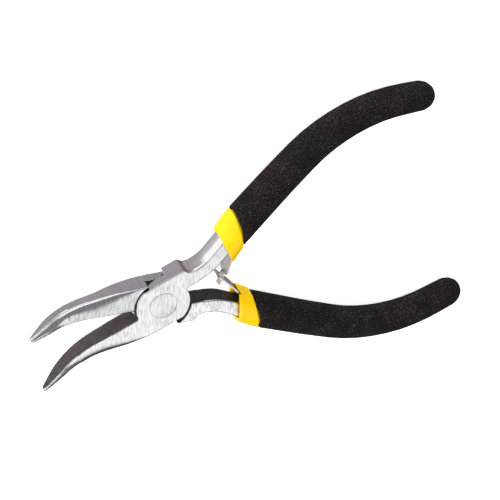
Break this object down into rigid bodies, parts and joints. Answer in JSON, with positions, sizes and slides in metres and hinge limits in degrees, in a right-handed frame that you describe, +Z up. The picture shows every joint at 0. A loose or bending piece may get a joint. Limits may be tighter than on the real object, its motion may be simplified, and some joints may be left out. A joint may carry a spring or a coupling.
{
  "type": "needle nose pliers",
  "caption": "Small bent-nose pliers with slim curved jaws, a flush lap joint, interlocking leaf springs and foam grips with glossy collars.",
  "frame": {"origin": "middle of the pliers' bounding box, on the plane they lie on", "axes": "+X towards the handles' ends, +Z up along the rivet's axis, the way the nose curves"},
  "size_m": [0.1234, 0.0802, 0.0133],
  "materials": {
    "forged_steel": "bright, ground in fine scratches across the flat faces, with polished round outer edges",
    "rivet_steel": "ground flush with the face round it, in the same fine scratches",
    "spring_steel": "bright rolled strip, smooth and slightly grey",
    "collar_vinyl": "smooth glossy yellow vinyl",
    "grip_foam": "matt charcoal foam-textured vinyl with fine speckled grain"
  },
  "bodies": {
    "back_body": {"back_half": "forged_steel", "lower_collar": "collar_vinyl", "lower_grip": "grip_foam"},
    "front_body": {"front_half": "forged_steel", "pivot_rivet": "rivet_steel", "upper_collar": "collar_vinyl", "upper_grip": "grip_foam"},
    "upper_leaf_body": {"upper_leaf_spring": "spring_steel"},
    "lower_leaf_body": {"lower_leaf_spring": "spring_steel"}
  },
  "joints": [
    {"name": "jaw_pivot", "type": "hinge", "parent": "back_body", "child": "front_body", "pos_m": [-0.02378, 0, 0.005], "axis": [0, 0, 1], "range_deg": [-24, 0], "stiffness_Nm_per_rad": 0.8, "springref_deg": 5.73},
    {"name": "upper_leaf_flex", "type": "hinge", "parent": "front_body", "child": "upper_leaf_body", "pos_m": [-0.0008, 0.0102, 0.005], "axis": [0, 0, 1], "range_deg": [-24, 0]},
    {"name": "lower_leaf_flex", "type": "hinge", "parent": "back_body", "child": "lower_leaf_body", "pos_m": [-0.0008, -0.0102, 0.005], "axis": [0, 0, 1], "range_deg": [0, 24]}
  ],
  "couplings": [
    {"joint": "upper_leaf_flex", "follows": "jaw_pivot", "ratio": 1},
    {"joint": "lower_leaf_flex", "follows": "jaw_pivot", "ratio": -1}
  ]
}
